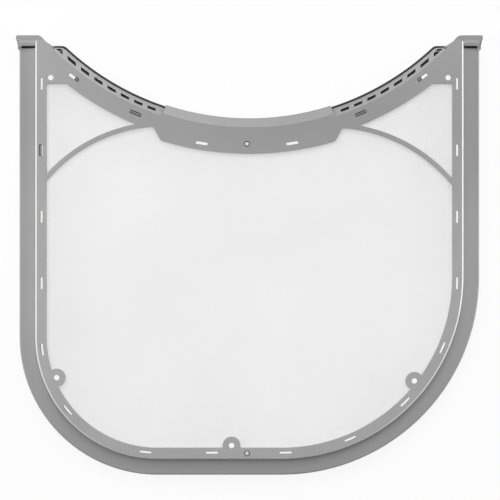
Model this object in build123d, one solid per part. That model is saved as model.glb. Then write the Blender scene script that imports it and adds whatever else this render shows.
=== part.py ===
from build123d import *
import os
from math import atan, atan2, cos, degrees, radians, sin, sqrt, tan

# Tumble dryer lint filter, lying on its back: X across, Y towards the curved top edge, Z out of the front.
# The origin is under the middle of the filter, on the plane of the back rims. Sizes are in millimetres.

# Overall form
BODY_WIDTH = 386.6          # across the outer faces of the two guide rails
NECK_HEIGHT = 290.0         # from the bottom rail to the lowest point of the curved top edge
DOOR_RISE = 79.2            # from that lowest point up to the top of the end caps
FRAME_DEPTH = 16.0          # from the back rims to the front face
LEFT_CORNER = 116.0         # outer radius of the smaller lower corner
RIGHT_CORNER = 166.0        # outer radius of the larger lower corner
WALL = 2.0                  # moulded wall of the front frame
FRAME_FIT = 0.3             # clearance between the two frames
SCREW_X = -2.0              # the screws and the tongue's windows sit a little left of the middle
GRILLE_X = -1.0             # and so do the tongue, the slots, the centre block and the band's windows

# Guide rail outside the raised ring
RAIL_WIDTH = 13.6           # from the outer face to the step
RAIL_DEPTH = 10.4           # the rail's outer edge above the back rims
RAIL_RISE = 1.7             # how far the hollow front of the rail rises to the foot of the step
RAIL_CHAMFER = 0.9
STEP_CHAMFER = 1.2

# Raised ring and mesh
RING_WIDTH = 9.3            # from the step to the mesh opening
FACE_THICKNESS = 2.5        # front face of the front frame
MESH_THICKNESS = 0.4
MESH_GRIP = 3.0             # width of mesh that the two frames hold
REAR_THICKNESS = 2.0        # clamping plate of the rear frame
FLANGE = 1.2                # wall round the rear frame, down to the back plane

# Band under the curved top edge
CAP_LAND = 4.1              # width of the front face at the very top, beside the step
BAND_WIDTH = 14.6           # from the curved edge to the mesh
TONGUE_WIDTH = 20.2         # the same at the middle, where the band is deeper
TONGUE_HALF = 78.4          # half its width where it leaves the band
TONGUE_TAPER = 28.0         # lean of its ends, in degrees
TONGUE_ROUND = 5.0          # of its two lower corners
TONGUE_HEEL = 2.5           # round where its ends leave the band
CORNER_DEPTH = 40.6         # from the top of the caps to the lower edge of the corner plates

# Grille strip that slopes back from the curved edge
GRILLE_RUN = 6.8            # how far the strip reaches past the band, seen from the front
GRILLE_DROP = 10.0          # how far it falls back over that run
GRILLE_END_GAP = 13.7       # from the step of the rail to the end of the strip
GRILLE_END_ROUND = 4.4
ROOT_RUN = 3.0              # web in the corner between the curved edge and the end of the strip
ROOT_RISE = 4.9
SLOT_COUNT = 8              # in each half
SLOT_LENGTH = 7.0
SLOT_WIDTH = 2.8
SLOT_SETBACK = 1.9          # from the band to the slot
SLOT_FIRST = 9.9            # from the centre block to the middle of the first slot
SLOT_LAST = 6.5             # from the middle of the last slot to the end of the strip
SLOT_RIM = 0.8              # left between the last slot and the end of the strip
BACK_THICKNESS = 1.8        # wall of the rear frame that closes the hollow behind the grille

# Centre block, a thick plain part of the strip
BLOCK_ANGLE = 18.0          # half its width, as an angle of the curved edge in degrees
BLOCK_PROUD = 2.1           # how far its face stands in front of the strip
BLOCK_RUN = 7.9

# Seal strip on the far edge of the grille
SEAL_THICKNESS = 1.8
SEAL_HEIGHT = 4.6
SEAL_LIFT = 0.8             # clear of the back plane
SEAL_GLUE = 0.1

# End caps on top of the rails
CAP_OVERHANG = 2.6
CAP_THICKNESS = 3.8
CAP_ROUND = 5.5             # where the curved edge runs into the top of the cap
CAP_CORNER = 1.2            # round of the cap's outer corner
CAP_SHOULDER = 1.4          # width of the shoulder under the overhang
CAP_SHOULDER_DROP = 8.8     # from the cap to the foot of the shoulder
CAP_SLOT_DROP = 9.7         # from the top of the cap to the middle of the slot in the rail
CAP_SLOT_WIDTH = 2.0
CAP_FLOOR = 16.0            # length of the floor that closes the rail's hollow under the slot
PAD_SINK = 0.5              # pad between the cap and the slot, below the front face
PAD_FALL = 2.0              # how far it falls towards the slot

# Ribs across the upper corners of the mesh
LEFT_RIB_RADIUS = 127.3     # lower edge of the left rib
RIGHT_RIB_RADIUS = 131.7    # lower edge of the right rib
RIB_WIDTH = 3.8
RIB_PAST = 29.5             # how far a rib's arc would pass the side of the mesh opening
LEFT_RIB_APEX = 2.8         # how far above the neck the left rib's arc would peak
RIGHT_RIB_APEX = 1.8        # the same of the right rib

# Lugs and locating holes
LUG_RADIUS = 7.5
LUG_IN = 2.0                # from the edge of the mesh opening to the lug's middle
LEFT_LUG_ANGLE = 22.0       # down round the left corner, in degrees
RIGHT_LUG_ANGLE = 38.0      # down round the right corner, in degrees
BOTTOM_LUG_X = -15.0
LOCATING_HOLE = 4.6         # diameter
PIN_ROOM = 0.4              # square cut-out round a hole in the mesh and the rear frame
CORNER_HOLE_IN = 3.6        # from the side of the mesh opening
CORNER_HOLE_UP = 5.1        # from the lower edge of the corner plate

# Windows through the ring and the band
RING_WINDOWS = 16
RING_WINDOW_IN = 4.3        # from the mesh opening to the middle of the window
CORNER_GAP_AFTER = 5        # the gap after this window, in the left corner, is wider
CORNER_GAP_EXTRA = 20.5
SCREW_GAP_AFTER = 7         # the gap after this window, at the bottom screw, is wider
SCREW_GAP_EXTRA = 6.0
FILLED_WINDOW = 1           # the ring window that a hook fills
BAND_WINDOW_ANGLE = 11.0    # from the end of the curved edge to the outermost window, in degrees
BAND_WINDOW_SETBACK = 6.0   # from the curved edge to the windows in the band
TONGUE_WINDOW_ANGLE = 8.8   # from the tongue's middle to its windows, in degrees
TONGUE_WINDOW_IN = 5.9      # from the tongue's edge to its windows
WINDOW_LENGTH = 9.8
WINDOW_WIDTH = 2.2
WINDOW_RELIEF = 0.4         # the slit in the rear frame is that much wider on its outer side

# Snap hooks of the rear frame, in some of the windows
SHORT_HOOK = 3.4            # length of the hook in the outermost windows of the band
HOOK_END_GAP = 0.4          # between a hook and the end of its window
HOOK_THICKNESS = 1.2
HOOK_CATCH = 0.5            # overlap of the hook on its ledge
HOOK_LEDGE = 1.2            # thickness of the ledge under the catch
HOOK_SINK = 0.2             # the hook's tip below the front face
HOOK_FIT = 0.2

# Screws that hold the frames together
TOP_SCREW_SETBACK = 12.0    # from the curved edge
HEAD_DIAMETER = 3.2
HEAD_HEIGHT = 1.1
HEAD_CLEARANCE = 0.9        # round the head in its counterbore
HEAD_SEAT = 1.4             # front face left under the head
SHANK_DIAMETER = 2.2
SHANK_LENGTH = 9.5
SHANK_CLEARANCE = 0.2       # in the front frame
THREAD_FIT = 0.05           # in the boss
BOSS_SIDE = 4.4
BOSS_TIP = 1.0              # boss below the end of the screw

# Levels above the back plane
FACE_BACK = FRAME_DEPTH - FACE_THICKNESS
MESH_BACK = FACE_BACK - MESH_THICKNESS
REAR_BACK = MESH_BACK - REAR_THICKNESS

# Places that follow from the sizes above
BODY_HEIGHT = NECK_HEIGHT + DOOR_RISE
TOP = BODY_HEIGHT / 2
BOTTOM = -BODY_HEIGHT / 2
NECK = BOTTOM + NECK_HEIGHT
OPENING_INSET = RAIL_WIDTH + RING_WIDTH
OPENING_HALF = BODY_WIDTH / 2 - OPENING_INSET
CORNER_EDGE = TOP - CORNER_DEPTH
LEFT_CENTRE = (-BODY_WIDTH / 2 + LEFT_CORNER, BOTTOM + LEFT_CORNER)
RIGHT_CENTRE = (BODY_WIDTH / 2 - RIGHT_CORNER, BOTTOM + RIGHT_CORNER)
DOOR_HALF = BODY_WIDTH / 2 - RAIL_WIDTH - CAP_LAND
DOOR_RADIUS = (DOOR_HALF ** 2 + DOOR_RISE ** 2) / (2 * DOOR_RISE)
DOOR_ANGLE = 2 * degrees(atan(DOOR_RISE / DOOR_HALF))
DOOR_Y = NECK + DOOR_RADIUS
GRILLE_FAR = DOOR_RADIUS - GRILLE_RUN
GRILLE_LOW = FRAME_DEPTH - GRILLE_DROP
GRILLE_SLOPE = GRILLE_DROP / GRILLE_RUN
GRILLE_END_X = BODY_WIDTH / 2 - RAIL_WIDTH - GRILLE_END_GAP
GRILLE_END_Y = DOOR_Y - sqrt(DOOR_RADIUS ** 2 - GRILLE_END_X ** 2)
FULL_HOOK = WINDOW_LENGTH - 2 * HOOK_END_GAP
FAR = 2 * BODY_WIDTH        # reach of cutting shapes, beyond the filter on every side


def disc(radius, x=0.0, y=0.0):
    """A round area about a point of the plan."""
    return Pos(x, y) * Circle(radius)


def door_disc(radius):
    """A round area about the centre of the curved top edge."""
    return disc(radius, 0, DOOR_Y)


def below(level):
    """The half of the plan under a level of Y."""
    return Pos(0, level - FAR / 2) * Rectangle(2 * FAR, FAR)


def prism(area, low, high):
    """An area of the plan raised between two levels."""
    return Pos(0, 0, low) * extrude(area, high - low)


def polygon(points):
    return make_face(Polyline(*points, close=True))


def turned(points):
    """A section given as radius from the door's centre and level, turned about that centre."""
    plane = Plane(origin=(0, DOOR_Y, 0), x_dir=(0, -1, 0), z_dir=(-1, 0, 0))
    return revolve(plane * polygon(points), Axis((0, DOOR_Y, 0), (0, 0, 1)))


def block_sector(extra=0.0):
    """The wedge of the plan, seen from the door's centre, that the centre block covers."""
    half = radians(BLOCK_ANGLE)
    tip = DOOR_Y + extra / sin(half)
    across = FAR * sin(half)
    low = tip - FAR * cos(half)
    return Pos(GRILLE_X, 0) * polygon([(0, tip), (-across, low), (across, low)])


def body_edges(inset, top):
    """The U-shaped line at a distance inside the outer edge, from the top left to the top right."""
    half = BODY_WIDTH / 2 - inset
    low = BOTTOM + inset
    return [
        Line((-half, top), (-half, LEFT_CENTRE[1])),
        CenterArc(LEFT_CENTRE, LEFT_CORNER - inset, 180, 90),
        Line((LEFT_CENTRE[0], low), (RIGHT_CENTRE[0], low)),
        CenterArc(RIGHT_CENTRE, RIGHT_CORNER - inset, 270, 90),
        Line((half, RIGHT_CENTRE[1]), (half, top)),
    ]


def body_area(inset, top):
    half = BODY_WIDTH / 2 - inset
    return make_face(body_edges(inset, top) + [Line((half, top), (-half, top))])


def tongue(inset):
    """The deeper middle of the band, its edges moved in by a distance."""
    taper = radians(TONGUE_TAPER)
    depth = 2 * TONGUE_WIDTH
    neck_half = TONGUE_HALF - inset / cos(taper)
    top_half = neck_half + depth * tan(taper)
    low_half = neck_half - depth * tan(taper)
    high = NECK + depth
    low = NECK - depth
    trapezoid = polygon([(-top_half, high), (-low_half, low), (low_half, low), (top_half, high)])
    return (Pos(GRILLE_X, 0) * trapezoid) & door_disc(DOOR_RADIUS + TONGUE_WIDTH - inset)


def rib_arcs():
    """Side, middle and lower radius of the two ribs."""
    rows = []
    for side, radius, apex in ((-1, LEFT_RIB_RADIUS, LEFT_RIB_APEX), (1, RIGHT_RIB_RADIUS, RIGHT_RIB_APEX)):
        x = side * (OPENING_HALF + RIB_PAST - radius)
        rows.append((side, x, NECK + apex - radius, radius))
    return rows


def rib_quarter(side, x, y, radius):
    """The quarter of a rib's disc, up to a radius, that lies outwards and upwards of its middle."""
    return disc(radius, x, y) & (Pos(x + side * radius / 2, y + radius / 2) * Rectangle(radius, radius))


def mesh_area(grow):
    """The whole opening that the mesh fills, its edges moved outwards by a distance."""
    sides = body_area(OPENING_INSET - grow, CORNER_EDGE + grow)
    area = sides - door_disc(DOOR_RADIUS + BAND_WIDTH - grow)
    for side, x, y, radius in rib_arcs():
        area += rib_quarter(side, x, y, radius + grow) & sides
    return area - tongue(grow)


def lug_places():
    left = radians(180 + LEFT_LUG_ANGLE)
    left_reach = LEFT_CORNER - OPENING_INSET - LUG_IN
    right = radians(-RIGHT_LUG_ANGLE)
    right_reach = RIGHT_CORNER - OPENING_INSET - LUG_IN
    return [
        (LEFT_CENTRE[0] + left_reach * cos(left), LEFT_CENTRE[1] + left_reach * sin(left)),
        (BOTTOM_LUG_X, BOTTOM + OPENING_INSET + LUG_IN),
        (RIGHT_CENTRE[0] + right_reach * cos(right), RIGHT_CENTRE[1] + right_reach * sin(right)),
    ]


def hole_places():
    """Middles of the holes in the lugs and in the two corner plates."""
    corner_x = OPENING_HALF - CORNER_HOLE_IN
    corner_y = CORNER_EDGE + CORNER_HOLE_UP
    return lug_places() + [(-corner_x, corner_y), (corner_x, corner_y)]


def locating_holes():
    return Sketch() + [disc(LOCATING_HOLE / 2, x, y) for x, y in hole_places()]


def pin_cutouts():
    """Square cut-outs that leave room for a pin in each hole."""
    side = LOCATING_HOLE + 2 * PIN_ROOM
    return Sketch() + [Pos(x, y) * Rectangle(side, side) for x, y in hole_places()]


def open_area():
    """What is open behind the mesh: the mesh area without the ribs."""
    area = mesh_area(0)
    heels = area.vertices().sort_by_distance((GRILLE_X, NECK))[2:4]
    area = fillet(heels, TONGUE_HEEL)
    lower_corners = area.vertices().sort_by_distance((GRILLE_X, NECK))[:2]
    area = fillet(lower_corners, TONGUE_ROUND)
    for side, x, y, radius in rib_arcs():
        area -= rib_quarter(side, x, y, radius + RIB_WIDTH) - disc(radius, x, y)
    return area


def ring_windows():
    """Windows along the ring: place and turn, length of the hook, and the end where it stands."""
    route = Wire(body_edges(OPENING_INSET - RING_WINDOW_IN, CORNER_EDGE))
    extras = {CORNER_GAP_AFTER: CORNER_GAP_EXTRA, SCREW_GAP_AFTER: SCREW_GAP_EXTRA}
    pitch = (route.length - sum(extras.values())) / (RING_WINDOWS - 1)
    station = 0.0
    rows = []
    for number in range(RING_WINDOWS):
        share = min(station / route.length, 1.0)
        place = route @ share
        heading = route % share
        turn = degrees(atan2(heading.Y, heading.X))
        hook = FULL_HOOK if number == FILLED_WINDOW else 0.0
        rows.append((Pos(place.X, place.Y) * Rot(0, 0, turn), hook, 1))
        station += pitch + extras.get(number, 0.0)
    return rows


def band_windows():
    """Three pairs of windows along the band and the tongue, listed as the ring's are."""
    outer = DOOR_ANGLE - BAND_WINDOW_ANGLE
    second = (outer + TONGUE_WINDOW_ANGLE) / 2
    band = DOOR_RADIUS + BAND_WINDOW_SETBACK
    low = DOOR_RADIUS + TONGUE_WIDTH - TONGUE_WINDOW_IN
    pairs = [
        (GRILLE_X, outer, band, SHORT_HOOK),
        (GRILLE_X, second, band, FULL_HOOK),
        (SCREW_X, TONGUE_WINDOW_ANGLE, low, 0.0),
    ]
    rows = []
    for middle, angle, radius, hook in pairs:
        for side in (-1, 1):
            turn = radians(side * angle)
            place = Pos(middle + radius * sin(turn), DOOR_Y - radius * cos(turn))
            rows.append((place * Rot(0, 0, 180 + side * angle), hook, side))
    return rows


def windows():
    """Every window lies along its local X, with the mesh on the side of local +Y."""
    return ring_windows() + band_windows()


def hook_middle(hook, end):
    return end * (WINDOW_LENGTH / 2 - HOOK_END_GAP - hook / 2)


def window_cut(hook, end):
    """A window through the face, with a ledge on its outer side for the catch of a hook."""
    cut = prism(Rectangle(WINDOW_LENGTH, WINDOW_WIDTH), FACE_BACK - WALL, FRAME_DEPTH)
    if hook:
        ledge_width = HOOK_CATCH + 2 * HOOK_FIT
        ledge_y = HOOK_FIT - (WINDOW_WIDTH + ledge_width) / 2
        ledge = Pos(hook_middle(hook, end), ledge_y) * Rectangle(hook + 2 * HOOK_FIT, ledge_width)
        cut += prism(ledge, FACE_BACK + HOOK_LEDGE, FRAME_DEPTH)
    return cut


def snap_hook(hook, end):
    """A hook that stands on the rear plate in a window and catches on its ledge."""
    outer = HOOK_FIT - WINDOW_WIDTH / 2
    foot = MESH_BACK - REAR_THICKNESS / 2
    catch = FACE_BACK + HOOK_LEDGE + HOOK_FIT / 4
    tip = FRAME_DEPTH - HOOK_SINK
    section = polygon([
        (outer, foot),
        (outer, catch),
        (outer - HOOK_CATCH, catch),
        (outer, tip),
        (outer + HOOK_THICKNESS, tip),
        (outer + HOOK_THICKNESS, foot),
    ])
    plane = Plane(origin=(hook_middle(hook, end) - hook / 2, 0, 0), x_dir=(0, 1, 0), z_dir=(1, 0, 0))
    return extrude(plane * section, hook)


def screw_places():
    return [
        (SCREW_X, NECK - TOP_SCREW_SETBACK),
        (SCREW_X, BOTTOM + RAIL_WIDTH + RING_WIDTH / 2),
    ]


def grille_plan():
    """Plan of the strip with its wall against the band, rounded at the two far corners."""
    plan = (door_disc(DOOR_RADIUS + WALL) - door_disc(GRILLE_FAR)) & below(GRILLE_END_Y)
    far_corners = plan.vertices().sort_by_distance((0, DOOR_Y))[:2]
    return fillet(far_corners, GRILLE_END_ROUND)


def rail_section():
    """Section of the rail: a channel open to the back, the step and the rim of the raised face."""
    foot = RAIL_DEPTH + RAIL_RISE
    lip = RAIL_WIDTH + STEP_CHAMFER
    inner = RAIL_WIDTH + WALL
    edge = Polyline((0, 0), (0, RAIL_DEPTH - RAIL_CHAMFER), (RAIL_CHAMFER, RAIL_DEPTH))
    front = [
        TangentArc((RAIL_CHAMFER, RAIL_DEPTH), (RAIL_WIDTH, foot), tangent=(1, 0)),
        Line((RAIL_WIDTH, foot), (RAIL_WIDTH, FRAME_DEPTH - STEP_CHAMFER)),
        Line((RAIL_WIDTH, FRAME_DEPTH - STEP_CHAMFER), (lip, FRAME_DEPTH)),
    ]
    back = Polyline(
        (lip, FRAME_DEPTH),
        (inner + STEP_CHAMFER, FRAME_DEPTH),
        (inner + STEP_CHAMFER, FACE_BACK),
        (inner, FACE_BACK),
        (inner, 0),
        (RAIL_WIDTH, 0),
        (RAIL_WIDTH, foot - WALL),
        (WALL, RAIL_DEPTH - WALL),
        (WALL, 0),
        (0, 0),
    )
    return make_face(edge.edges() + front + back.edges())


def make_rails():
    start = TOP - CAP_THICKNESS / 2
    plane = Plane(origin=(-BODY_WIDTH / 2, start, 0), x_dir=(1, 0, 0), z_dir=(0, -1, 0))
    return sweep(plane * rail_section(), path=Wire(body_edges(0, start)))


def make_caps():
    """End caps over the rails, with a shoulder outside and a floor that closes the rail's hollow."""
    edge = BODY_WIDTH / 2
    low = TOP - CAP_THICKNESS
    bar_width = CAP_OVERHANG + RAIL_WIDTH + CAP_LAND
    caps = Part()
    for side in (-1, 1):
        middle = Pos(side * (edge + CAP_OVERHANG - bar_width / 2), TOP - CAP_THICKNESS / 2)
        bar = middle * Rectangle(bar_width, CAP_THICKNESS)
        bar = fillet(bar.vertices().sort_by_distance((side * FAR, FAR))[:1], CAP_CORNER)
        caps += prism(bar, 0, FRAME_DEPTH)
        shoulder = [
            (edge - WALL / 2, low),
            (edge + CAP_OVERHANG, low),
            (edge + CAP_SHOULDER, low - CAP_SHOULDER_DROP / 2),
            (edge + CAP_SHOULDER, low - CAP_SHOULDER_DROP + CAP_SHOULDER),
            (edge, low - CAP_SHOULDER_DROP),
            (edge - WALL / 2, low - CAP_SHOULDER_DROP),
        ]
        caps += prism(polygon([(side * x, y) for x, y in shoulder]), 0, RAIL_DEPTH - RAIL_CHAMFER)
        floor = Pos(side * (edge - RAIL_WIDTH / 2), TOP - CAP_FLOOR / 2)
        caps += prism(floor * Rectangle(RAIL_WIDTH, CAP_FLOOR), 0, WALL)
        caps += cap_pad(side)
    return caps


def cap_pad(side):
    """A pad on the rail that falls from the cap to the slot."""
    low = TOP - CAP_SLOT_DROP
    foot = RAIL_DEPTH - WALL
    head = FRAME_DEPTH - PAD_SINK
    section = polygon([
        (TOP, foot),
        (TOP, head),
        (TOP - CAP_THICKNESS, head),
        (low, head - PAD_FALL),
        (low, foot),
    ])
    start = side * BODY_WIDTH / 2 - (RAIL_WIDTH if side > 0 else 0)
    plane = Plane(origin=(start, 0, 0), x_dir=(0, 1, 0), z_dir=(1, 0, 0))
    return extrude(plane * section, RAIL_WIDTH)


def grille_slots():
    """Slots in two rows, cut straight back through the sloping strip."""
    near = DOOR_RADIUS - SLOT_SETBACK
    row = door_disc(near) - door_disc(near - SLOT_WIDTH)
    first = (DOOR_RADIUS - GRILLE_RUN / 2) * sin(radians(BLOCK_ANGLE)) + SLOT_FIRST
    pitch = (GRILLE_END_X - SLOT_LAST - first) / (SLOT_COUNT - 1)
    bars = Sketch()
    for number in range(SLOT_COUNT):
        for side in (-1, 1):
            bar = Pos(GRILLE_X + side * (first + number * pitch), DOOR_Y - FAR / 2)
            bars += bar * Rectangle(SLOT_LENGTH, FAR)
    slots = row & bars & offset(grille_plan(), -SLOT_RIM)
    return prism(slots, GRILLE_LOW - WALL, FRAME_DEPTH)


def back_passage():
    """Room under the wall of the band for the rear frame's wall that closes the hollow of the grille."""
    band = door_disc(DOOR_RADIUS + 2 * WALL) - door_disc(DOOR_RADIUS - WALL)
    return prism(band & below(GRILLE_END_Y - WALL), -WALL, BACK_THICKNESS + FRAME_FIT)


def strip_roots():
    """Webs in the corners where the ends of the strip leave the curved edge."""
    high = GRILLE_END_Y + ROOT_RISE
    high_x = sqrt(DOOR_RADIUS ** 2 - (DOOR_Y - high) ** 2)
    roots = Sketch()
    for side in (-1, 1):
        roots += polygon([
            (side * (GRILLE_END_X - ROOT_RUN), GRILLE_END_Y),
            (side * high_x, high),
            (side * (GRILLE_END_X + WALL), GRILLE_END_Y),
        ])
    return roots


def make_grille():
    """The sloping strip with its walls, open to the back, and the centre block in front of it."""
    plan = grille_plan()
    wall_side = DOOR_RADIUS + WALL
    strip = prism(plan, 0, FRAME_DEPTH) & turned([
        (wall_side, 0),
        (wall_side, FRAME_DEPTH),
        (DOOR_RADIUS, FRAME_DEPTH),
        (GRILLE_FAR, GRILLE_LOW),
        (GRILLE_FAR, 0),
    ])
    face = DOOR_RADIUS - BLOCK_PROUD
    edge = face - BLOCK_RUN
    block = prism(block_sector(), 0, FRAME_DEPTH) & turned([
        (wall_side, 0),
        (wall_side, FRAME_DEPTH),
        (face, FRAME_DEPTH),
        (edge, FRAME_DEPTH - BLOCK_RUN * GRILLE_SLOPE),
        (edge, 0),
    ])
    skin = WALL * sqrt(1 + GRILLE_SLOPE ** 2)
    inner = GRILLE_FAR + WALL
    hollow = prism(offset(plan, -WALL), -WALL, FRAME_DEPTH) & turned([
        (inner, -WALL),
        (inner, GRILLE_LOW + WALL * GRILLE_SLOPE - skin),
        (DOOR_RADIUS, FRAME_DEPTH - skin),
        (DOOR_RADIUS, -WALL),
    ])
    roots = prism(strip_roots(), 0, FRAME_DEPTH)
    return strip + roots + block - hollow - grille_slots() - back_passage()


def make_front_frame():
    face = body_area(RAIL_WIDTH + STEP_CHAMFER, TOP) - door_disc(DOOR_RADIUS) - open_area()
    for x, y in lug_places():
        face += disc(LUG_RADIUS, x, y)
    face -= locating_holes()
    frame = prism(face, FACE_BACK, FRAME_DEPTH) + make_rails() + make_caps() + make_grille()
    corner_wall = door_disc(DOOR_RADIUS + WALL) - door_disc(DOOR_RADIUS)
    corner_wall &= body_area(RAIL_WIDTH, TOP) - below(GRILLE_END_Y - WALL)
    frame += prism(corner_wall, 0, FRAME_DEPTH)
    uprights = frame.edges().filter_by(Axis.Z)
    tips = [uprights.sort_by_distance((x, TOP, FACE_BACK))[0] for x in (-DOOR_HALF, DOOR_HALF)]
    frame = fillet(tips, CAP_ROUND)
    for side in (-1, 1):
        slot = Pos(side * (BODY_WIDTH / 2 - (WALL + RAIL_WIDTH) / 2), TOP - CAP_SLOT_DROP)
        frame -= prism(slot * Rectangle(RAIL_WIDTH - WALL, CAP_SLOT_WIDTH), WALL, FRAME_DEPTH)
    for place, hook, end in windows():
        frame -= place * window_cut(hook, end)
    for x, y in screw_places():
        frame -= prism(disc(SHANK_DIAMETER / 2 + SHANK_CLEARANCE, x, y), FACE_BACK - WALL, FRAME_DEPTH)
        frame -= prism(disc(HEAD_DIAMETER / 2 + HEAD_CLEARANCE, x, y), FACE_BACK + HEAD_SEAT, FRAME_DEPTH)
    return frame


def make_rear_frame():
    inset = RAIL_WIDTH + WALL + FRAME_FIT
    door = DOOR_RADIUS + WALL + FRAME_FIT
    outline = body_area(inset, GRILLE_END_Y) - door_disc(door)
    inside = body_area(inset + FLANGE, GRILLE_END_Y - FLANGE) - door_disc(door + FLANGE)
    frame = prism(outline - open_area() - pin_cutouts(), REAR_BACK, MESH_BACK)
    frame += prism(outline - inside, 0, REAR_BACK)
    back = offset(grille_plan(), -WALL - FRAME_FIT)
    bridge = door_disc(door + FLANGE) - door_disc(DOOR_RADIUS - WALL)
    bridge &= below(GRILLE_END_Y - WALL - FRAME_FIT)
    frame += prism(back + bridge, 0, BACK_THICKNESS)
    for place, hook, end in windows():
        slit = WINDOW_LENGTH
        if hook:
            slit -= hook + HOOK_END_GAP + HOOK_FIT
            frame += place * snap_hook(hook, end)
        if slit > WINDOW_WIDTH:
            relief = Pos(end * (slit - WINDOW_LENGTH) / 2, -WINDOW_RELIEF / 2)
            relief *= Rectangle(slit, WINDOW_WIDTH + WINDOW_RELIEF)
            frame -= place * prism(relief, REAR_BACK - WALL, FACE_BACK)
    for place, hook, end in ring_windows():
        if hook:
            free = WINDOW_WIDTH - HOOK_FIT - HOOK_THICKNESS
            beside = Pos(hook_middle(hook, end), (WINDOW_WIDTH - free) / 2) * Rectangle(hook, free)
            frame -= place * prism(beside, REAR_BACK - WALL, MESH_BACK)
    boss_foot = FACE_BACK + HEAD_SEAT - SHANK_LENGTH - BOSS_TIP
    for x, y in screw_places():
        frame += prism(Pos(x, y) * Rectangle(BOSS_SIDE, BOSS_SIDE), boss_foot, MESH_BACK)
        frame -= prism(disc(SHANK_DIAMETER / 2 + THREAD_FIT, x, y), boss_foot + BOSS_TIP / 2, FRAME_DEPTH)
    return frame


def make_mesh_screen():
    return prism(mesh_area(MESH_GRIP) - pin_cutouts(), MESH_BACK, FACE_BACK)


def make_seals():
    """Strips glued to the far wall of the grille, one on each side of the centre block."""
    plan = grille_plan()
    strip = offset(plan, SEAL_GLUE + SEAL_THICKNESS) - offset(plan, SEAL_GLUE)
    strip = (strip & door_disc(DOOR_RADIUS - SEAL_GLUE)) - block_sector(SEAL_GLUE)
    strip -= offset(strip_roots(), SEAL_GLUE)
    solid = prism(strip, SEAL_LIFT, SEAL_LIFT + SEAL_HEIGHT)
    return solid.solids().sort_by(Axis.X)


def make_screws():
    seat = FACE_BACK + HEAD_SEAT
    top = seat + HEAD_HEIGHT
    screws = []
    for x, y in screw_places():
        screw = prism(disc(SHANK_DIAMETER / 2, x, y), seat - SHANK_LENGTH, seat)
        screw += prism(disc(HEAD_DIAMETER / 2, x, y), seat, top)
        screws.append(screw.solid())
    return Compound(children=screws)


left_seal, right_seal = make_seals()
nodes = {
    "front_frame": make_front_frame(),
    "rear_frame": make_rear_frame(),
    "mesh_screen": make_mesh_screen(),
    "frame_screws": make_screws(),
    "grille_seal_left": left_seal,
    "grille_seal_right": right_seal,
}
os.makedirs("parts", exist_ok=True)
for name, shape in nodes.items():
    export_step(shape, f"parts/{name}.step")
print("curved edge radius", round(DOOR_RADIUS, 2), "half angle", round(DOOR_ANGLE, 2))
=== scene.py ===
# %% [markdown]
# # A tumble dryer lint filter
# The filter is two grey mouldings that clamp a fine nylon mesh, lying on its back. The solids come in with their
# true sizes, and this lesson gives them their finish. It weaves the mesh, shapes the two small screws, and sets up
# the floor, the lights and the camera. All lengths are in metres.

# %% Load the solids
from math import radians

import bpy
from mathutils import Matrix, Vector


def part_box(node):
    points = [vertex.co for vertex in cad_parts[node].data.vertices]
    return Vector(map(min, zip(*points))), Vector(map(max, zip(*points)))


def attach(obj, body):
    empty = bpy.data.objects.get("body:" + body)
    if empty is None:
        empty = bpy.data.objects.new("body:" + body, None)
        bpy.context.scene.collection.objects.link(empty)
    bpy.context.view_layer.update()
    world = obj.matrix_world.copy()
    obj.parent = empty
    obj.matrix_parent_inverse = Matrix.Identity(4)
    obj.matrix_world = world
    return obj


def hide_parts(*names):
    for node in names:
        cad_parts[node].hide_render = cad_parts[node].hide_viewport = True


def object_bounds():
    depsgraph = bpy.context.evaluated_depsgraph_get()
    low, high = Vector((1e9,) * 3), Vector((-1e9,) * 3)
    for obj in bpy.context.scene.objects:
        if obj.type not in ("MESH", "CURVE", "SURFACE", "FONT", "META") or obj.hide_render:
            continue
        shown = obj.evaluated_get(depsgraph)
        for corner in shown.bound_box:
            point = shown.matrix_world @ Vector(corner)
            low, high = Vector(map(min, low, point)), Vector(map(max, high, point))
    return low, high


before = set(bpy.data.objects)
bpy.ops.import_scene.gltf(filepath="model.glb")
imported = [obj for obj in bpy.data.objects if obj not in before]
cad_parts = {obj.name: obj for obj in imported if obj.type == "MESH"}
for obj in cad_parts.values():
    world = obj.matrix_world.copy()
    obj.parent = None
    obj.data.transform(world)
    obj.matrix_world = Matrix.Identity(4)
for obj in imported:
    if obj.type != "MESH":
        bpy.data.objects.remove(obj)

MM = 0.001
solid_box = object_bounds()
screen_low, screen_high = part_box("mesh_screen")
print("solids:", sorted(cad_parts))
print("size in mm:", [round(side / MM, 1) for side in solid_box[1] - solid_box[0]])

# %% [markdown]
# ## Camera
# The filter is seen straight on from far away, so its sides hardly converge. Lying on its back, it is seen from
# above: a camera that isn't turned looks down, with +Y at the top of the picture. An orthographic camera would do
# almost as well, but it shows no walls at all. A long lens at a long distance keeps the faint perspective. The width
# of the view is true at the level of the mesh, between the rails and the front face.

# %% Set up the camera
VIEW_WIDTH = 420 * MM
VIEW_CENTRE = Vector((0.5 * MM, 4.4 * MM, screen_low.z))
VIEW_DISTANCE = 2.6
SENSOR_MM = 36.0

bpy.ops.object.select_all(action="DESELECT")
bpy.ops.object.camera_add(location=VIEW_CENTRE + Vector((0, 0, VIEW_DISTANCE)), rotation=(0, 0, 0))
camera = bpy.context.object
camera.name = "camera"
camera.data.sensor_width = SENSOR_MM
camera.data.lens = SENSOR_MM * VIEW_DISTANCE / VIEW_WIDTH
bpy.context.scene.camera = camera
print("lens in mm:", round(camera.data.lens, 1))

# %% [markdown]
# ## Effects on the surface
# Each effect is a node group, so it is wired once and placed in each material with its own values. A group gives out
# only masks and values that change over the surface, and the shader stays in the material. A mask takes several
# small sums, so one helper makes a Math node together with its links.

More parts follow.
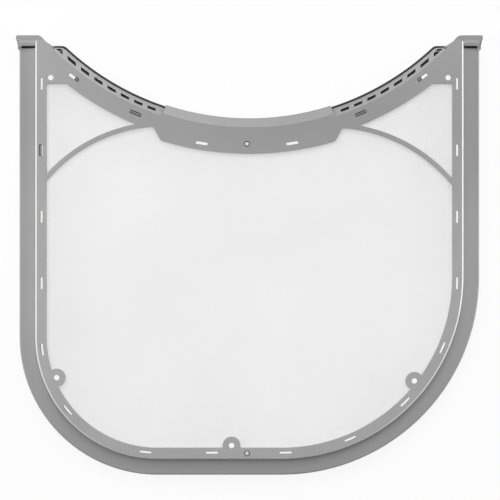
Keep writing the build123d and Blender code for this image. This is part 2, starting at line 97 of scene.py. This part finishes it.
# %% Helpers for the groups
def start_group(name, inputs, outputs):
    """An empty group. An input without a value takes a vector, and all other sockets take numbers."""
    group = bpy.data.node_groups.new(name, "ShaderNodeTree")
    for socket, value in inputs.items():
        kind = "NodeSocketVector" if value is None else "NodeSocketFloat"
        made = group.interface.new_socket(socket, in_out="INPUT", socket_type=kind)
        if value is not None:
            made.default_value = value
    for socket in outputs:
        group.interface.new_socket(socket, in_out="OUTPUT", socket_type="NodeSocketFloat")
    return group, group.nodes.new("NodeGroupInput"), group.nodes.new("NodeGroupOutput")


def math_node(tree, operation, *sources, clamp=False):
    """A Math node that is fed by sockets or plain numbers, in their order. Gives its output."""
    made = tree.nodes.new("ShaderNodeMath")
    made.operation = operation
    made.use_clamp = clamp
    for entry, source in zip(made.inputs, sources):
        if isinstance(source, (int, float)):
            entry.default_value = source
        else:
            tree.links.new(source, entry)
    return made.outputs[0]


def axes_of(tree, vector):
    """The outputs X, Y and Z of a vector."""
    made = tree.nodes.new("ShaderNodeSeparateXYZ")
    tree.links.new(vector, made.inputs["Vector"])
    return made.outputs


print("groups at the start:", len(bpy.data.node_groups))

# %% [markdown]
# ### Moulded grain
# The mould of such a part is spark-eroded, so the plastic has a very fine grain. It is too fine to be modelled, so
# two noises give it: a fine one for the grain itself, which becomes bump, and a wide one for the faint cloudiness of
# the grey.

# %% Wire the moulded grain
GRAIN_SCALE = 2600.0
GRAIN_DETAIL = 2.0
CLOUD_SCALE = 24.0
CLOUD_DETAIL = 3.0


def make_moulded_grain():
    group, given, result = start_group(
        "moulded_grain", {"Vector": None, "Grain Scale": GRAIN_SCALE, "Cloud Scale": CLOUD_SCALE}, ["Grain", "Cloud"])
    for output, detail in (("Grain", GRAIN_DETAIL), ("Cloud", CLOUD_DETAIL)):
        noise = group.nodes.new("ShaderNodeTexNoise")
        noise.inputs["Detail"].default_value = detail
        group.links.new(given.outputs["Vector"], noise.inputs["Vector"])
        group.links.new(given.outputs[output + " Scale"], noise.inputs["Scale"])
        group.links.new(noise.outputs["Fac"], result.inputs[output])
    return group


moulded_grain = make_moulded_grain()
print("group:", moulded_grain.name)

# %% [markdown]
# ### Edge wear and highlight
# Edges of plastic that slides in and out get smooth and a little paler. The paler colour here also holds a painted
# highlight, which stands in for the light that catches the edges. They could be painted by hand, but a Bevel node
# finds them all: it gives the normal that a rounded edge would have. Where that differs from the true normal there is
# an edge, so one minus their product is the mask.

# %% Wire the rubbed edges
EDGE_RADIUS = 0.4 * MM
EDGE_GAIN = 3.0
BEVEL_SAMPLES = 4


def make_edge_wear_and_highlight():
    group, given, result = start_group("edge_wear_and_highlight", {"Radius": EDGE_RADIUS, "Strength": EDGE_GAIN}, ["Mask"])
    bevel = group.nodes.new("ShaderNodeBevel")
    bevel.samples = BEVEL_SAMPLES
    geometry = group.nodes.new("ShaderNodeNewGeometry")
    product = group.nodes.new("ShaderNodeVectorMath")
    product.operation = "DOT_PRODUCT"
    group.links.new(given.outputs["Radius"], bevel.inputs["Radius"])
    group.links.new(bevel.outputs["Normal"], product.inputs[0])
    group.links.new(geometry.outputs["Normal"], product.inputs[1])
    # The mask is partly paler wear and partly a painted highlight, on every edge, raised or hollow.
    edge = math_node(group, "SUBTRACT", 1.0, product.outputs["Value"])
    mask = math_node(group, "MULTIPLY", edge, given.outputs["Strength"], clamp=True)
    group.links.new(mask, result.inputs["Mask"])
    return group


edge_wear_and_highlight = make_edge_wear_and_highlight()
print("group:", edge_wear_and_highlight.name)

# %% [markdown]
# ### Shaded gaps
# The slits round the hooks, the ring round each screw and the slots of the grille are narrow. The shade in them is
# painted into the colour, so they are darker than light alone makes them. An Ambient Occlusion node measures how
# closed in a point is, so no gap has to be picked by hand.

# %% Wire the shaded gaps
GAP_REACH = 1.5 * MM
GAP_OPEN = 0.9
GAP_SAMPLES = 8


def make_shaded_gaps():
    group, given, result = start_group("shaded_gaps", {"Reach": GAP_REACH, "Open": GAP_OPEN}, ["Mask"])
    closed_in = group.nodes.new("ShaderNodeAmbientOcclusion")
    closed_in.samples = GAP_SAMPLES
    group.links.new(given.outputs["Reach"], closed_in.inputs["Distance"])
    # Painted shade: the more closed in a point is, the darker its colour.
    share = math_node(group, "DIVIDE", closed_in.outputs["AO"], given.outputs["Open"], clamp=True)
    gap = math_node(group, "SUBTRACT", 1.0, share, clamp=True)
    group.links.new(gap, result.inputs["Mask"])
    return group


shaded_gaps = make_shaded_gaps()
print("group:", shaded_gaps.name)

# %% [markdown]
# ### Top shade
# The middle of the top edge is painted a little darker than the ring, a painted shade. Painting it would need a UV
# map. A gradient in the shape of a flat ellipse, placed by the Object coordinates, needs none, and it fades the shade
# out along the edge.

# %% Wire the heat tint
TOP_SHADE_PLACE = Vector((38.0 * MM, 125.0 * MM))
TOP_SHADE_REACH = Vector((330.0 * MM, 105.0 * MM))
TOP_SHADE_STRENGTH = 1.0


def make_painted_top_shade():
    group, given, result = start_group("painted_top_shade", {"Vector": None, "Strength": TOP_SHADE_STRENGTH}, ["Mask"])
    mapping = group.nodes.new("ShaderNodeMapping")
    mapping.inputs["Scale"].default_value = (1 / TOP_SHADE_REACH.x, 1 / TOP_SHADE_REACH.y, 0.0)
    mapping.inputs["Location"].default_value = (-TOP_SHADE_PLACE.x / TOP_SHADE_REACH.x, -TOP_SHADE_PLACE.y / TOP_SHADE_REACH.y, 0.0)
    fade = group.nodes.new("ShaderNodeTexGradient")
    fade.gradient_type = "SPHERICAL"
    group.links.new(given.outputs["Vector"], mapping.inputs["Vector"])
    group.links.new(mapping.outputs["Vector"], fade.inputs["Vector"])
    # Painted shade, strongest at the middle of the top edge.
    mask = math_node(group, "MULTIPLY", fade.outputs["Fac"], given.outputs["Strength"], clamp=True)
    group.links.new(mask, result.inputs["Mask"])
    return group


painted_top_shade = make_painted_top_shade()
print("group:", painted_top_shade.name)

# %% [markdown]
# ### Pale step and highlight
# The sloped edge of the step round the ring is a little paler than the rest, and a painted highlight on top of that
# makes it almost white. Its faces could get a second material. But it is the only face near the front that slopes at
# half a right angle, so its height and its normal pick it out.

# %% Wire the whitened step
STEP_LOW = 14.6 * MM
STEP_SLOPE = 0.71
STEP_SPREAD = 0.09
STEP_STRENGTH = 0.9


def make_pale_step_and_highlight():
    group, given, result = start_group("pale_step_and_highlight", {"Vector": None, "Strength": STEP_STRENGTH}, ["Mask"])
    geometry = group.nodes.new("ShaderNodeNewGeometry")
    normal = axes_of(group, geometry.outputs["True Normal"])
    place = axes_of(group, given.outputs["Vector"])
    # The mask holds the paler edge and a painted highlight on it.
    sloped = math_node(group, "COMPARE", normal["Z"], STEP_SLOPE, STEP_SPREAD)
    high = math_node(group, "GREATER_THAN", place["Z"], STEP_LOW)
    step = math_node(group, "MULTIPLY", sloped, high)
    mask = math_node(group, "MULTIPLY", step, given.outputs["Strength"], clamp=True)
    group.links.new(mask, result.inputs["Mask"])
    return group


pale_step_and_highlight = make_pale_step_and_highlight()
print("group:", pale_step_and_highlight.name)

# %% [markdown]
# ### Rail shade
# The low rails are painted a little darker than the raised ring, a painted shade. They could have a material of their
# own, but they belong to the same moulding. So a mask picks them by their place: low, below the end caps, and either
# outside the ring or below the top edge.

# %% Wire the rubbed rails
RAIL_TOP = 12.6 * MM
RAIL_INSIDE = 172.0 * MM
RAIL_BELOW = 85.0 * MM
RAIL_END = 175.5 * MM
RAIL_STRENGTH = 0.6


def make_painted_rail_shade():
    group, given, result = start_group("painted_rail_shade", {"Vector": None, "Strength": RAIL_STRENGTH}, ["Mask"])
    place = axes_of(group, given.outputs["Vector"])
    outside = math_node(group, "GREATER_THAN", math_node(group, "ABSOLUTE", place["X"]), RAIL_INSIDE)
    lower = math_node(group, "LESS_THAN", place["Y"], RAIL_BELOW)
    low = math_node(group, "LESS_THAN", place["Z"], RAIL_TOP)
    before_cap = math_node(group, "LESS_THAN", place["Y"], RAIL_END)
    # Painted shade on the low rails.
    mask = math_node(group, "MAXIMUM", outside, lower)
    for factor in (low, before_cap, given.outputs["Strength"]):
        mask = math_node(group, "MULTIPLY", mask, factor, clamp=True)
    group.links.new(mask, result.inputs["Mask"])
    return group


painted_rail_shade = make_painted_rail_shade()
print("group:", painted_rail_shade.name)

# %% [markdown]
# ### End caps
# The filter is pulled out by its end caps, and their faces are painted a little darker, a painted shade. A short
# slope leads from each cap down to the slot in the rail. Just under the cap it is painted paler, a painted light that
# lifts the shade there and stands in for a highlight, and the paler tone fades out towards the slot. Both masks come
# from the place, as for the rails.

# %% Wire the end caps
SLOPE_FOOT = 177.6 * MM
SLOPE_HEAD = 180.9 * MM
SLOPE_INSIDE = 179.6 * MM
SLOPE_STRENGTH = 0.8
FACE_STRENGTH = 0.55


def range_of(tree, source, low, high, start=0.0, end=1.0):
    """A value that goes from low to high while its source goes from start to end."""
    made = tree.nodes.new("ShaderNodeMapRange")
    for socket, value in (("From Min", start), ("From Max", end), ("To Min", low), ("To Max", high)):
        made.inputs[socket].default_value = value
    tree.links.new(source, made.inputs["Value"])
    return made.outputs["Result"]


def make_end_caps():
    group, given, result = start_group(
        "end_caps", {"Vector": None, "Slope Strength": SLOPE_STRENGTH, "Face Strength": FACE_STRENGTH},
        ["Slope", "Face"])
    place = axes_of(group, given.outputs["Vector"])
    outside = math_node(group, "GREATER_THAN", math_node(group, "ABSOLUTE", place["X"]), SLOPE_INSIDE)
    below = math_node(group, "LESS_THAN", place["Y"], SLOPE_HEAD)
    # Painted light on the slope under each cap, and painted shade on the cap faces below.
    slope = range_of(group, place["Y"], 0.0, 1.0, SLOPE_FOOT, SLOPE_HEAD)
    for factor in (outside, below, given.outputs["Slope Strength"]):
        slope = math_node(group, "MULTIPLY", slope, factor, clamp=True)
    above = math_node(group, "GREATER_THAN", place["Y"], SLOPE_HEAD)
    face = math_node(group, "MULTIPLY", above, given.outputs["Face Strength"], clamp=True)
    group.links.new(slope, result.inputs["Slope"])
    group.links.new(face, result.inputs["Face"])
    return group


end_caps = make_end_caps()
print("group:", end_caps.name)

# %% [markdown]
# ## Helpers for the materials
# Every finish starts from a Principled BSDF. What is the same all over the surface is set on the shader's own
# sockets, and what changes over it comes through nodes that read the Object coordinates of the piece.

# %% Start a material and place groups in it
def start_material(name, **values):
    """A material, its nodes, its shader with plain values set by socket name, and the place on the piece."""
    material = bpy.data.materials.new(name)
    material.use_nodes = True
    tree = material.node_tree
    shader = tree.nodes["Principled BSDF"]
    for socket, value in values.items():
        shader.inputs[socket.replace("_", " ")].default_value = value
    place = tree.nodes.new("ShaderNodeTexCoord").outputs["Object"]
    return material, tree, shader, place


def place_group(tree, group, place=None, **values):
    """The outputs of a group that has its own values and reads the place where it needs one."""
    made = tree.nodes.new("ShaderNodeGroup")
    made.node_tree = group
    for socket, value in values.items():
        made.inputs[socket.replace("_", " ")].default_value = value
    if place is not None:
        tree.links.new(place, made.inputs["Vector"])
    return made.outputs


def dress(node, material):
    """Gives a solid its finish in place of the plain one that it came with."""
    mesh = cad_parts[node].data
    mesh.materials.clear()
    mesh.materials.append(material)


print("materials that came with the solids:", len(bpy.data.materials))

# %% Mix greys and make bump
WHITE = 1.0


def grey(level):
    """A colour with the same red, green and blue."""
    return (level, level, level, 1.0)


def ramp_of(tree, source, low, high, span):
    """A grey from low to high while its source goes over the span."""
    made = tree.nodes.new("ShaderNodeValToRGB")
    for stop, position, level in zip(made.color_ramp.elements, span, (low, high)):
        stop.position = position
        stop.color = grey(level)
    tree.links.new(source, made.inputs["Fac"])
    return made.outputs["Color"]


def mix_to(tree, source, level, mask):
    """A source's colour, turned to one grey as far as the mask says."""
    made = tree.nodes.new("ShaderNodeMix")
    made.data_type = "RGBA"
    made.inputs["B"].default_value = grey(level)
    tree.links.new(source, made.inputs["A"])
    tree.links.new(mask, made.inputs["Factor"])
    return made.outputs["Result"]


def bump_of(tree, height, strength, distance):
    """A Bump node over a height. It comes back whole, because another normal can go in."""
    made = tree.nodes.new("ShaderNodeBump")
    made.inputs["Strength"].default_value = strength
    made.inputs["Distance"].default_value = distance
    tree.links.new(height, made.inputs["Height"])
    return made


print("white:", grey(WHITE))

# %% [markdown]
# ## Grey moulded plastic
# Both frames are moulded from cool grey plastic with a satin surface. The rear one gets a darker grey, a painted
# shade for where it lies in shade, in the slots of the grille and behind the windows. One flat grey would look like a
# drawing, so the masks are laid over a cloudy grey one after another, and several of them paint light or shade into
# the colour. The grain is far finer than a pixel, so it mostly softens the highlights. A Bevel node rounds every edge
# by a fraction of a millimetre in the shading, with no more faces.

# %% Make the plastic
PLASTIC_IOR = 1.5
PLASTIC_SPAN = (0.35, 0.65)
PLASTIC_ROUGHNESS = (0.5, 0.38)
PLASTIC_ROUND = 0.3 * MM
GRAIN_STRENGTH = 0.25
GRAIN_HEIGHT = 0.02 * MM
SHADE_SHARE = 0.76
STEP_HIGHLIGHT_WHITE = 0.78
SLOPE_PAINTED_LIGHT = 0.68


def make_plastic(name, dark, light, pale_edge_and_highlight, gap_shade):
    material, tree, shader, place = start_material(name, IOR=PLASTIC_IOR)
    grain = place_group(tree, moulded_grain, place)
    top_shade = place_group(tree, painted_top_shade, place)
    rails = place_group(tree, painted_rail_shade, place)
    caps = place_group(tree, end_caps, place)
    step = place_group(tree, pale_step_and_highlight, place)
    edges = place_group(tree, edge_wear_and_highlight)
    gaps = place_group(tree, shaded_gaps)
    # Painted shade: the rails, the cap faces and the top middle are turned darker together.
    rail_and_cap_shade = math_node(tree, "ADD", rails["Mask"], caps["Face"], clamp=True)
    darker = math_node(tree, "ADD", top_shade["Mask"], rail_and_cap_shade, clamp=True)
    colour = ramp_of(tree, grain["Cloud"], dark, light, PLASTIC_SPAN)
    # Painted shade and light go into the colour here, along with the paler wear of the edges and the step.
    for level, mask in ((SHADE_SHARE * dark, darker), (pale_edge_and_highlight, edges["Mask"]), (STEP_HIGHLIGHT_WHITE, step["Mask"]),
                        (gap_shade, gaps["Mask"]), (SLOPE_PAINTED_LIGHT, caps["Slope"])):
        colour = mix_to(tree, colour, level, mask)
    bevel = tree.nodes.new("ShaderNodeBevel")
    bevel.samples = BEVEL_SAMPLES
    bevel.inputs["Radius"].default_value = PLASTIC_ROUND
    bump = bump_of(tree, grain["Grain"], GRAIN_STRENGTH, GRAIN_HEIGHT)
    tree.links.new(bevel.outputs["Normal"], bump.inputs["Normal"])
    tree.links.new(bump.outputs["Normal"], shader.inputs["Normal"])
    tree.links.new(range_of(tree, grain["Cloud"], *PLASTIC_ROUGHNESS), shader.inputs["Roughness"])
    tree.links.new(colour, shader.inputs["Base Color"])
    return material


front_plastic = make_plastic("front_plastic", dark=0.345, light=0.375, pale_edge_and_highlight=0.43, gap_shade=0.035)
# The darker grey of the rear frame is painted shade.
shaded_rear_plastic = make_plastic("shaded_rear_plastic", dark=0.25, light=0.28, pale_edge_and_highlight=0.32, gap_shade=0.03)
dress("front_frame", front_plastic)
dress("rear_frame", shaded_rear_plastic)
print("plastic on: front_frame, rear_frame")

# %% [markdown]
# ## Foam seal
# A thin dark strip of foam is glued along the far edge of each half of the grille. Foam is matte and full of small
# pores. They are far too many to model, so a Voronoi texture gives them: its distance is low at the middle of each
# cell, so the cells sink in.

# %% Make the foam
FOAM_ROUGHNESS = 0.92
FOAM_TONES = (0.012, 0.045)
PORE_SCALE = 1400.0
PORE_SPAN = (0.1, 0.6)
PORE_STRENGTH = 0.6
PORE_DEPTH = 0.2 * MM


def make_foam():
    material, tree, shader, place = start_material("seal_foam", Roughness=FOAM_ROUGHNESS)
    pores = tree.nodes.new("ShaderNodeTexVoronoi")
    pores.inputs["Scale"].default_value = PORE_SCALE
    tree.links.new(place, pores.inputs["Vector"])
    tone = ramp_of(tree, pores.outputs["Distance"], *FOAM_TONES, PORE_SPAN)
    bump = bump_of(tree, pores.outputs["Distance"], PORE_STRENGTH, PORE_DEPTH)
    tree.links.new(tone, shader.inputs["Base Color"])
    tree.links.new(bump.outputs["Normal"], shader.inputs["Normal"])
    return material


seal_foam = make_foam()
dress("grille_seal_left", seal_foam)
dress("grille_seal_right", seal_foam)
print("foam on: grille_seal_left, grille_seal_right")

# %% [markdown]
# ## Nylon thread
# The mesh is white nylon. Each thread is smooth and slightly shiny, and its white varies a little along the roll. A
# thread is thinner than a pixel, so bump would be lost on it. Its tone follows the wide noise of the grain, and its
# gloss the fine one. The plate on the screws varies in the same way, so one function makes both.

# %% Make the nylon
def make_hazy_finish(name, tones, span, roughness, cloud_scale, grain_scale, **values):
    """A smooth finish whose tone follows a wide noise and whose roughness follows a fine one."""
    material, tree, shader, place = start_material(name, **values)
    grain = place_group(tree, moulded_grain, place, Cloud_Scale=cloud_scale, Grain_Scale=grain_scale)
    tree.links.new(ramp_of(tree, grain["Cloud"], *tones, span), shader.inputs["Base Color"])
    tree.links.new(range_of(tree, grain["Grain"], *roughness), shader.inputs["Roughness"])
    return material


nylon_thread = make_hazy_finish("nylon_thread", tones=(0.80, 0.88), span=(0.3, 0.7), roughness=(0.45, 0.6),
                                cloud_scale=9.0, grain_scale=900.0, IOR=1.53)
print("material:", nylon_thread.name)

# %% [markdown]
# ## Woven mesh
# The mesh is a sheet of threads less than half a millimetre apart. It could be a flat sheet with a pattern of holes
# in its material, but then it has no threads in the model. So every thread is laid by itself. Its middle line runs
# from edge to edge of the sheet and stops at the cut-outs for the pins, and a curve's bevel makes it round. The
# threads across lie on those along, which rest on the rear frame.

# %% Find the outline of the sheet
MERGE_DISTANCE = 0.001 * MM
FACING = 0.9    # how far a normal has to point along Z for its face to count as level
screen_size = screen_high - screen_low
screen_centre = (screen_high + screen_low) / 2


def only(piece):
    """Selects one object alone and makes it active."""
    bpy.ops.object.select_all(action="DESELECT")
    piece.select_set(True)
    bpy.context.view_layer.objects.active = piece


def outline_of_screen():
    """The edges round the front of the sheet and its cut-outs, as pairs of points."""
    only(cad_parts["mesh_screen"])
    bpy.ops.object.duplicate()
    sheet = bpy.context.object
    bpy.ops.object.mode_set(mode="EDIT")
    bpy.ops.mesh.select_all(action="SELECT")
    bpy.ops.mesh.remove_doubles(threshold=MERGE_DISTANCE)
    bpy.ops.object.mode_set(mode="OBJECT")
    uses = {}
    for face in sheet.data.polygons:
        if face.normal.z > FACING:
            for key in face.edge_keys:
                uses[key] = uses.get(key, 0) + 1
    points = [sheet.matrix_world @ corner.co for corner in sheet.data.vertices]
    edges = [(points[a], points[b]) for (a, b), count in uses.items() if count == 1]
    bpy.data.objects.remove(sheet)
    return edges


screen_edges = outline_of_screen()
print("edges round the sheet:", len(screen_edges))

# %% Find the runs of thread
THREAD_PITCH = 0.42 * MM


def thread_runs(axis):
    """Place across, start and end of each run of thread along an axis."""
    across = 1 - axis
    count = int(screen_size[across] / THREAD_PITCH)
    first = screen_centre[across] - (count - 1) / 2 * THREAD_PITCH
    runs = []
    for number in range(count):
        line = first + number * THREAD_PITCH
        hits = []
        for a, b in screen_edges:
            if (a[across] < line) != (b[across] < line):
                share = (line - a[across]) / (b[across] - a[across])
                hits.append(a[axis] + share * (b[axis] - a[axis]))
        hits.sort()
        runs += [(line, start, end) for start, end in zip(hits[::2], hits[1::2])]
    return runs


weft_runs, warp_runs = thread_runs(0), thread_runs(1)
print("runs of thread across and along:", len(weft_runs), len(warp_runs))

# %% Lay the threads
THREAD_SIZE = 0.12 * MM
WARP_LEVEL = screen_low.z + 0.5 * THREAD_SIZE
WEFT_LEVEL = screen_low.z + 1.4 * THREAD_SIZE
THREAD_SMOOTH = radians(70)


def lay_threads(name, points):
    """Round threads, made from the two ends of each middle line."""
    lines = bpy.data.meshes.new(name)
    lines.from_pydata(points, [(number, number + 1) for number in range(0, len(points), 2)], [])
    threads = bpy.data.objects.new(name, lines)
    bpy.context.collection.objects.link(threads)
    only(threads)
    bpy.ops.object.convert(target="CURVE")
    curve = bpy.context.object.data
    curve.bevel_depth = THREAD_SIZE / 2
    curve.bevel_resolution = 1
    curve.use_fill_caps = True
    bpy.ops.object.convert(target="MESH")
    return bpy.context.object


warp = lay_threads("warp", [(x, y, WARP_LEVEL) for x, *ends in warp_runs for y in ends])
mesh_weave = lay_threads("mesh_weave", [(x, y, WEFT_LEVEL) for y, *ends in weft_runs for x in ends])
only(mesh_weave)
warp.select_set(True)
bpy.ops.object.join()
mesh_weave.data.materials.clear()
mesh_weave.data.materials.append(nylon_thread)
bpy.ops.object.shade_smooth_by_angle(angle=THREAD_SMOOTH)
print("mesh_weave faces:", len(mesh_weave.data.polygons))


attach(mesh_weave, "root")
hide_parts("mesh_screen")

# %% [markdown]
# ## Screws
# The two small screws are bright zinc-plated steel with a pan head and a cross recess. One plain grey metal would do
# from afar. Zinc plate has a fine haze, so here the tone and the roughness follow noises.

# %% Make the steel
zinc_steel = make_hazy_finish("zinc_steel", tones=(0.56, 0.70), span=(0.35, 0.65), roughness=(0.28, 0.45),
                              cloud_scale=700.0, grain_scale=5000.0, Metallic=1.0)
print("material:", zinc_steel.name)

# %% [markdown]
# A screw could be cut from the solid that it replaces. It is simpler to shape it afresh from one cylinder, as large
# as the head: the underside is inset and drawn out to the shank, and the upper rim is bevelled. A Boolean with two
# crossed bars then sinks the recess. The solid of both screws gives the places, and the second screw is a copy of
# the first.

# %% Find the places of the screws
SCREW_HEAD = 3.2 * MM
SCREW_SHANK = 2.2 * MM
HEAD_HEIGHT = 1.1 * MM
screws_low, screws_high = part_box("frame_screws")
screw_x = (screws_low.x + screws_high.x) / 2
screw_seat = screws_high.z - HEAD_HEIGHT
lower_y = screws_low.y + SCREW_HEAD / 2
upper_y = screws_high.y - SCREW_HEAD / 2
print("screws in mm: x", round(screw_x / MM, 2), "y", round(lower_y / MM, 2), round(upper_y / MM, 2))

# %% Shape one screw
HEAD_ROUND = 0.45 * MM
HEAD_SIDES = 48
ROUND_SEGMENTS = 5


def select_faces(piece, wanted):
    """Selects the faces for which wanted(face) is true, and leaves edit mode on."""
    bpy.ops.object.mode_set(mode="EDIT")
    bpy.ops.mesh.select_all(action="DESELECT")
    bpy.ops.mesh.select_mode(type="FACE")
    bpy.ops.object.mode_set(mode="OBJECT")
    for face in piece.data.polygons:
        face.select = wanted(face)
    bpy.ops.object.mode_set(mode="EDIT")


def add_screw_blank(name):
    """Head with a round rim and a plain shank, as one closed mesh."""
    bpy.ops.object.select_all(action="DESELECT")
    bpy.ops.mesh.primitive_cylinder_add(vertices=HEAD_SIDES, radius=SCREW_HEAD / 2, depth=HEAD_HEIGHT,
                                        location=(screw_x, lower_y, screw_seat + HEAD_HEIGHT / 2))
    bpy.ops.object.transform_apply(location=True, rotation=True, scale=True)
    screw = bpy.context.object
    screw.name = name
    select_faces(screw, lambda face: face.normal.z < -FACING)
    bpy.ops.mesh.inset(thickness=(SCREW_HEAD - SCREW_SHANK) / 2)
    bpy.ops.mesh.extrude_region_move(TRANSFORM_OT_translate={"value": (0, 0, screws_low.z - screw_seat)})
    select_faces(screw, lambda face: face.normal.z > FACING)
    bpy.ops.mesh.region_to_loop()
    bpy.ops.mesh.bevel(offset=HEAD_ROUND, segments=ROUND_SEGMENTS, affect="EDGES")
    bpy.ops.object.mode_set(mode="OBJECT")
    return screw


lower_screw = add_screw_blank("lower_screw")
print("lower_screw faces before the recess:", len(lower_screw.data.polygons))

# %% Sink the cross recess
RECESS_LENGTH = 1.9 * MM
RECESS_WIDTH = 0.5 * MM
RECESS_DEPTH = 0.6 * MM
SCREW_SMOOTH = radians(30)


def sink_recess(screw):
    """Cuts a cross into the head with two bars, which are sunk to half their height."""
    for length_x, length_y in ((RECESS_LENGTH, RECESS_WIDTH), (RECESS_WIDTH, RECESS_LENGTH)):
        bpy.ops.object.select_all(action="DESELECT")
        bpy.ops.mesh.primitive_cube_add(size=1, location=(screw_x, lower_y, screws_high.z),
                                        scale=(length_x, length_y, 2 * RECESS_DEPTH))
        bpy.ops.object.transform_apply(location=True, rotation=True, scale=True)
        bar = bpy.context.object
        only(screw)
        cut = screw.modifiers.new("recess", "BOOLEAN")
        cut.operation = "DIFFERENCE"
        cut.solver = "EXACT"
        cut.object = bar
        bpy.ops.object.modifier_apply(modifier=cut.name)
        bpy.data.objects.remove(bar)


sink_recess(lower_screw)
lower_screw.data.materials.clear()
lower_screw.data.materials.append(zinc_steel)
only(lower_screw)
bpy.ops.object.shade_smooth_by_angle(angle=SCREW_SMOOTH)
print("lower_screw faces:", len(lower_screw.data.polygons))

# %% Copy the screw to its second place
only(lower_screw)
bpy.ops.object.duplicate()
upper_screw = bpy.context.object
upper_screw.name = "upper_screw"
bpy.ops.transform.translate(value=(0, upper_y - lower_y, 0))
bpy.ops.object.transform_apply(location=True, rotation=True, scale=True)
for screw in (lower_screw, upper_screw):
    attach(screw, "root")
    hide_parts("frame_screws")
print("screws:", lower_screw.name, upper_screw.name)

# %% [markdown]
# ## Floor
# The filter lies on a white floor. A floor that is only lit would come out grey. So for the camera it is mostly
# plain white, and the rest is a white matte surface, which keeps the shadow of the filter.

# %% Make the floor
FLOOR_SIDE = 8.0
FLOOR_MATTE = 0.9
FLOOR_WHITE = 0.9
FLOOR_CLEARANCE = 0.1 * MM


def seen_directly(tree):
    """A value that is 1 for rays from the camera, from a mirror or through glass."""
    path = tree.nodes.new("ShaderNodeLightPath")
    seen = path.outputs["Is Camera Ray"]
    for ray in ("Is Glossy Ray", "Is Transmission Ray"):
        seen = math_node(tree, "MAXIMUM", seen, path.outputs[ray])
    return seen


def make_floor_material():
    material = bpy.data.materials.new("white_floor")
    material.use_nodes = True
    tree = material.node_tree
    tree.nodes.clear()
    matte = tree.nodes.new("ShaderNodeBsdfDiffuse")
    matte.inputs["Color"].default_value = grey(FLOOR_MATTE)
    white = tree.nodes.new("ShaderNodeEmission")
    mix = tree.nodes.new("ShaderNodeMixShader")
    result = tree.nodes.new("ShaderNodeOutputMaterial")
    tree.links.new(math_node(tree, "MULTIPLY", seen_directly(tree), FLOOR_WHITE), mix.inputs["Fac"])
    tree.links.new(matte.outputs[0], mix.inputs[1])
    tree.links.new(white.outputs[0], mix.inputs[2])
    tree.links.new(mix.outputs[0], result.inputs["Surface"])
    return material


bpy.ops.object.select_all(action="DESELECT")
bpy.ops.mesh.primitive_plane_add(size=FLOOR_SIDE, location=(0, 0, solid_box[0].z - FLOOR_CLEARANCE))
floor = bpy.context.object
floor.name = "floor"
floor.data.materials.append(make_floor_material())
print("floor side in metres:", FLOOR_SIDE)

# %% [markdown]
# ## Light
# Three softboxes stand at the top, the left and the right of the picture and none at the bottom, so the bottom rail
# is in shade. One large lamp overhead would be simpler, but then the rails and the ring look alike. Two strip lights
# lie almost at the level of the floor and bring out the sloped edges of the left and right steps, with hardly any
# light on the flat faces. The room gives a weak fill that fades towards the bottom of the picture.

# %% Set up the lamps
LAMPS = {   # place, size and power in watts
    "top_softbox": (Vector((0.0, 1.9, 1.7)), (1.6, 1.5), 34.0),
    "left_softbox": (Vector((-0.9, 0.15, 0.9)), (0.9, 0.4), 5.0),
    "right_softbox": (Vector((1.0, 0.15, 0.8)), (0.9, 0.4), 2.2),
    "left_strip": (Vector((-1.2, 0.15, 0.1)), (1.1, 0.08), 4.0),
    "right_strip": (Vector((1.2, 0.15, 0.1)), (1.1, 0.08), 8.0),
}


def add_lamp(name, place, size, power):
    """A rectangular lamp that faces the middle of the filter and stays out of the picture."""
    bpy.ops.object.select_all(action="DESELECT")
    bpy.ops.object.light_add(type="AREA", location=place)
    lamp = bpy.context.object
    lamp.name = name
    lamp.data.shape = "RECTANGLE"
    lamp.data.size, lamp.data.size_y = size
    lamp.data.energy = power
    lamp.rotation_euler = (-place).to_track_quat("-Z", "Y").to_euler()
    lamp.visible_camera = False


for lamp_name, (lamp_place, lamp_size, lamp_power) in LAMPS.items():
    add_lamp(lamp_name, lamp_place, lamp_size, lamp_power)
print("lamps:", sorted(LAMPS))

# %% Fill the room
FILL_BOTTOM = 0.06
FILL_TOP = 0.56

world = bpy.context.scene.world or bpy.data.worlds.new("studio")
bpy.context.scene.world = world
world.use_nodes = True
room = world.node_tree
background = room.nodes["Background"]
background.inputs["Color"].default_value = grey(WHITE)
direction = axes_of(room, room.nodes.new("ShaderNodeTexCoord").outputs["Generated"])
fill = range_of(room, direction["Y"], FILL_BOTTOM, FILL_TOP, start=-1.0)
room.links.new(math_node(room, "MAXIMUM", fill, seen_directly(room)), background.inputs["Strength"])
bpy.context.scene.view_settings.view_transform = "Standard"
print("fill at the bottom and the top of the picture:", FILL_BOTTOM, FILL_TOP)
